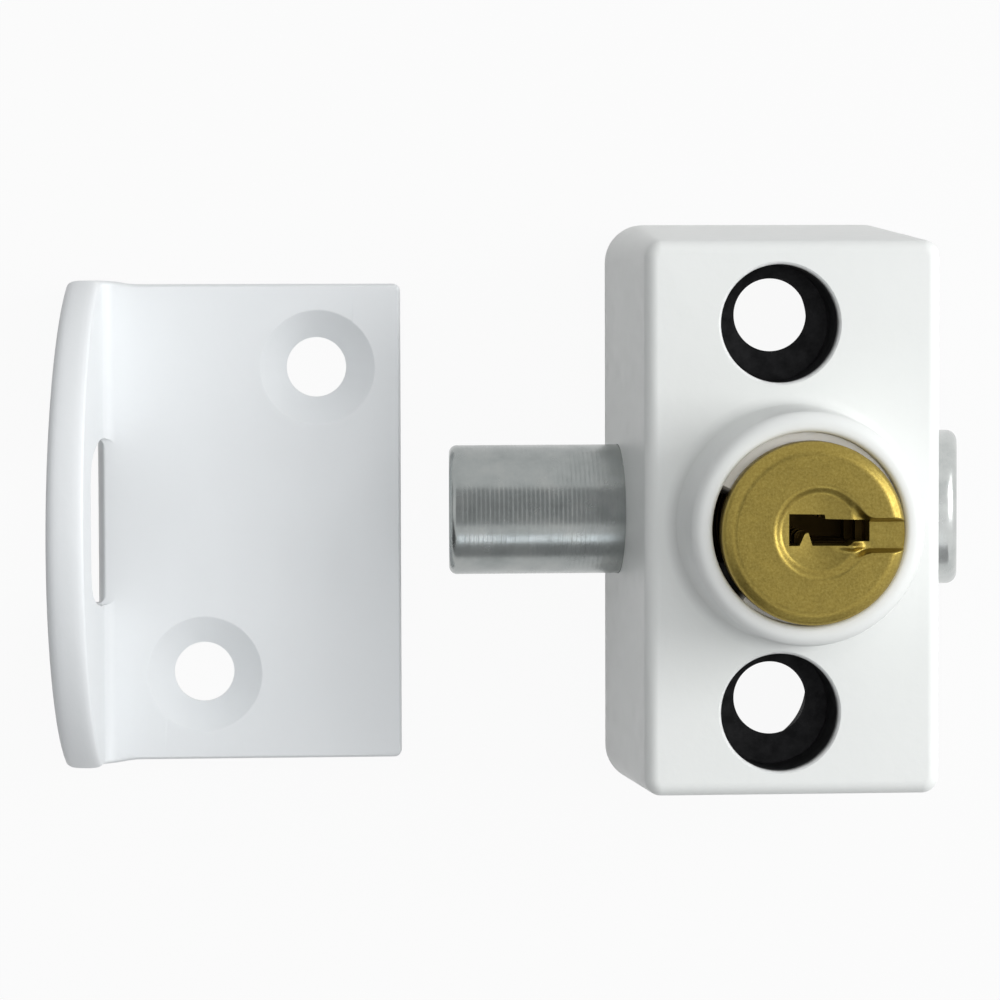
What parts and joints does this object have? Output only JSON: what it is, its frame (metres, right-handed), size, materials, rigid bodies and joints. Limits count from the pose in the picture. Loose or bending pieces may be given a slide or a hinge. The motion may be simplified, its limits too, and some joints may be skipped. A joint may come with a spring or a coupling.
{
  "type": "sash window bolt",
  "caption": "White key-locking sash window bolt: cast body with round spring bolt, push button and raised key cylinder, with its separate angled keep plate.",
  "frame": {"origin": "centre of the lock body's mounting face", "axes": "+Z away from the window sash into the room, +X back along the bolt towards its push button, +Y up along the lock body's long side"},
  "size_m": [0.0699, 0.0442, 0.0322],
  "materials": {
    "white_coat": "white powder coat, satin",
    "bolt_steel": "turned and zinc plated, fine rings",
    "zinc_plate": "bright zinc plate",
    "spring_steel": "drawn spring steel, oiled",
    "raw_zinc": "cast zinc, uncoated",
    "brass": "turned brass, slightly dull"
  },
  "bodies": {
    "housing": {"lock_body": "white_coat", "back_plate": "zinc_plate", "back_plate_screws": "zinc_plate", "bolt_stop_pin": "zinc_plate", "return_spring": "spring_steel", "latch_spring": "spring_steel", "latch_screws": "zinc_plate", "plug_sleeve": "raw_zinc", "plug_washer": "zinc_plate", "keep_plate": "white_coat"},
    "plug": {"lock_plug": "brass", "wafer_1": "brass", "wafer_2": "brass", "wafer_3": "brass", "wafer_4": "brass", "wafer_5": "brass", "wafer_springs": "spring_steel", "lift_cam": "zinc_plate", "cam_screw": "zinc_plate"},
    "bolt": {"bolt": "bolt_steel"}
  },
  "joints": [
    {"name": "bolt_slide", "type": "slide", "parent": "housing", "child": "bolt", "axis": [1, 0, 0], "range_m": [0, 0.0134], "deforming": ["return_spring", "latch_spring"]},
    {"name": "key_turn", "type": "hinge", "parent": "housing", "child": "plug", "pos_m": [0, -0.00035, 0.02], "axis": [0, 0, 1], "range_deg": [0, 90], "deforming": ["latch_spring"]}
  ]
}
